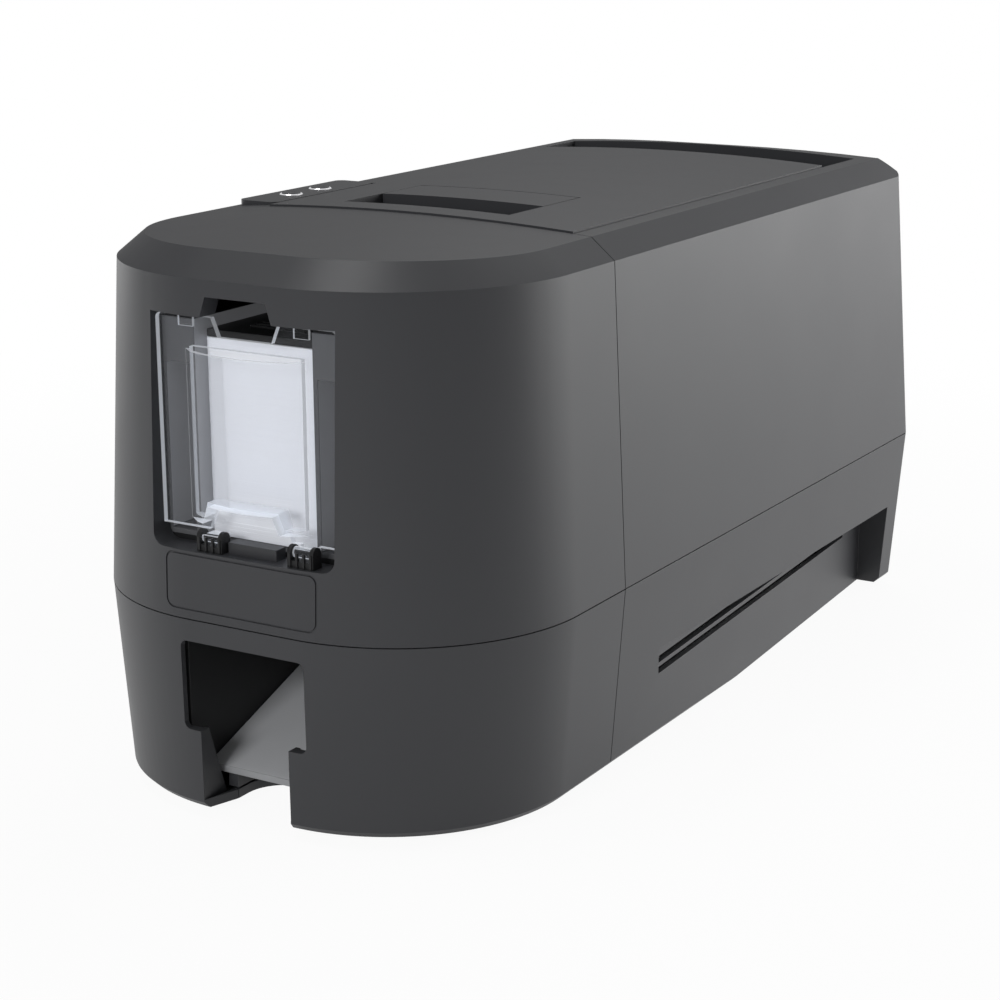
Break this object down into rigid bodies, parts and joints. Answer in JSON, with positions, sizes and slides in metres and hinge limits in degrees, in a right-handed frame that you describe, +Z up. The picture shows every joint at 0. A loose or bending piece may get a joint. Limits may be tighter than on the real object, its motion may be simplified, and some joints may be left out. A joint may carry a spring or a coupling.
{
  "type": "id card printer",
  "caption": "Desktop card printer with a card hopper behind a clear door, an output tray, a hinged lid, ribbon spools and a geared roller path.",
  "frame": {"origin": "centre of the footprint on the surface that the feet stand on", "axes": "+Z up, +Y to the rear along the length, +X to the right seen from the front"},
  "size_m": [0.21, 0.44, 0.2303],
  "materials": {
    "charcoal_plastic": "satin moulded",
    "black_plastic": "matte moulded",
    "clear_plastic": "clear polycarbonate",
    "card_white": "smooth card edges",
    "tray_grey": "satin moulded",
    "frame_steel": "zinc plated sheet",
    "shaft_steel": "ground steel",
    "roller_rubber": "matte",
    "gear_plastic": "natural acetal",
    "foot_rubber": "matte",
    "motor_metal": "black lacquer",
    "board_green": "solder mask",
    "port_metal": "tinned",
    "ring_metal": "polished",
    "button_plastic": "satin",
    "ribbon_film": "dyed film",
    "spool_plastic": "moulded"
  },
  "bodies": {
    "root": {"base_plate": "charcoal_plastic", "base_shell": "charcoal_plastic", "board_standoffs": "shaft_steel", "button_board": "board_green", "button_rings": "ring_metal", "card_path_guide": "black_plastic", "card_stack": "card_white", "circuit_board": "board_green", "door_clips": "black_plastic", "door_pins": "shaft_steel", "drive_motor": "motor_metal", "feet": "foot_rubber", "front_lower_cover": "charcoal_plastic", "front_upper_cover": "charcoal_plastic", "gear_studs": "shaft_steel", "hopper_floor": "black_plastic", "hopper_housing": "charcoal_plastic", "lid_hinge_pins": "shaft_steel", "network_port": "port_metal", "output_liner": "black_plastic", "output_tray": "tray_grey", "port_board": "board_green", "power_inlet": "black_plastic", "rear_cross_tie": "frame_steel", "rear_upper_cover": "charcoal_plastic", "side_frame_left": "frame_steel", "side_frame_right": "frame_steel", "usb_port": "port_metal"},
    "lid": {"top_lid": "charcoal_plastic", "slot_liner": "black_plastic", "head_bracket": "black_plastic", "print_head": "motor_metal", "ribbon_cassette": "spool_plastic"},
    "latch_flap": {"latch_flap": "charcoal_plastic"},
    "latch_bar": {"latch_bar": "black_plastic"},
    "hopper_door": {"hopper_door": "clear_plastic"},
    "power_button": {"power_button": "button_plastic"},
    "user_button": {"user_button": "button_plastic"},
    "pick_roller": {"pick_shaft": "shaft_steel", "pick_roller": "roller_rubber", "pick_gear": "gear_plastic"},
    "feed_roller": {"feed_shaft": "shaft_steel", "feed_roller": "roller_rubber", "feed_gear": "gear_plastic"},
    "platen_roller": {"platen_shaft": "shaft_steel", "platen_roller": "roller_rubber", "platen_gear": "gear_plastic"},
    "rear_roller": {"rear_shaft": "shaft_steel", "rear_roller": "roller_rubber", "rear_gear": "gear_plastic"},
    "pick_idler": {"pick_idler_gear": "gear_plastic"},
    "feed_idler": {"feed_idler_gear": "gear_plastic"},
    "rear_idler": {"rear_idler_gear": "gear_plastic"},
    "motor_idler": {"motor_idler_gear": "gear_plastic"},
    "motor_pinion": {"motor_pinion": "shaft_steel"},
    "takeup_spool": {"takeup_spool": "spool_plastic", "takeup_roll": "ribbon_film"},
    "supply_spool": {"supply_spool": "spool_plastic", "supply_roll": "ribbon_film"}
  },
  "joints": [
    {"name": "lid_hinge", "type": "hinge", "parent": "root", "child": "lid", "pos_m": [0, 0.138, 0.212], "axis": [-1, 0, 0], "range_deg": [0, 80]},
    {"name": "latch_flap_hinge", "type": "hinge", "parent": "lid", "child": "latch_flap", "pos_m": [0, -0.0256, 0.2275], "axis": [-1, 0, 0], "range_deg": [0, 22], "stiffness_Nm_per_rad": 0.05, "springref_deg": -17.19},
    {"name": "latch_bar_pivot", "type": "hinge", "parent": "lid", "child": "latch_bar", "pos_m": [0, -0.092, 0.216], "axis": [-1, 0, 0], "range_deg": [0, 11], "stiffness_Nm_per_rad": 0.05, "springref_deg": -17.19},
    {"name": "hopper_door_hinge", "type": "hinge", "parent": "root", "child": "hopper_door", "pos_m": [0, -0.2142, 0.1166], "axis": [1, 0, 0], "range_deg": [0, 80]},
    {"name": "power_button_press", "type": "slide", "parent": "root", "child": "power_button", "axis": [0, 0, -1], "range_m": [0, 0.001], "stiffness_N_per_m": 400, "springref_m": -0.001},
    {"name": "user_button_press", "type": "slide", "parent": "root", "child": "user_button", "axis": [0, 0, -1], "range_m": [0, 0.001], "stiffness_N_per_m": 400, "springref_m": -0.001},
    {"name": "platen_spin", "type": "hinge", "parent": "root", "child": "platen_roller", "pos_m": [0, -0.056, 0.106], "axis": [1, 0, 0], "continuous": true},
    {"name": "feed_spin", "type": "hinge", "parent": "root", "child": "feed_roller", "pos_m": [0, -0.092, 0.106], "axis": [1, 0, 0], "continuous": true},
    {"name": "pick_spin", "type": "hinge", "parent": "root", "child": "pick_roller", "pos_m": [0, -0.136, 0.106], "axis": [1, 0, 0], "continuous": true},
    {"name": "rear_spin", "type": "hinge", "parent": "root", "child": "rear_roller", "pos_m": [0, -0.02, 0.106], "axis": [1, 0, 0], "continuous": true},
    {"name": "pick_idler_spin", "type": "hinge", "parent": "root", "child": "pick_idler", "pos_m": [0, -0.114, 0.106], "axis": [1, 0, 0], "continuous": true},
    {"name": "feed_idler_spin", "type": "hinge", "parent": "root", "child": "feed_idler", "pos_m": [0, -0.074, 0.106], "axis": [1, 0, 0], "continuous": true},
    {"name": "rear_idler_spin", "type": "hinge", "parent": "root", "child": "rear_idler", "pos_m": [0, -0.038, 0.106], "axis": [1, 0, 0], "continuous": true},
    {"name": "motor_idler_spin", "type": "hinge", "parent": "root", "child": "motor_idler", "pos_m": [0, -0.056, 0.082], "axis": [1, 0, 0], "continuous": true},
    {"name": "motor_pinion_spin", "type": "hinge", "parent": "root", "child": "motor_pinion", "pos_m": [0, -0.056, 0.064], "axis": [1, 0, 0], "continuous": true},
    {"name": "takeup_spin", "type": "hinge", "parent": "lid", "child": "takeup_spool", "pos_m": [0, -0.06, 0.178], "axis": [1, 0, 0], "continuous": true},
    {"name": "supply_spin", "type": "hinge", "parent": "lid", "child": "supply_spool", "pos_m": [0, 0.008, 0.168], "axis": [1, 0, 0], "continuous": true}
  ],
  "couplings": [
    {"joint": "feed_spin", "follows": "platen_spin", "ratio": 1},
    {"joint": "pick_spin", "follows": "platen_spin", "ratio": 1},
    {"joint": "rear_spin", "follows": "platen_spin", "ratio": 1},
    {"joint": "pick_idler_spin", "follows": "platen_spin", "ratio": -1.2},
    {"joint": "feed_idler_spin", "follows": "platen_spin", "ratio": -2},
    {"joint": "rear_idler_spin", "follows": "platen_spin", "ratio": -2},
    {"joint": "motor_idler_spin", "follows": "platen_spin", "ratio": -1},
    {"joint": "motor_pinion_spin", "follows": "platen_spin", "ratio": 2},
    {"joint": "latch_bar_pivot", "follows": "latch_flap_hinge", "ratio": 0.5}
  ]
}
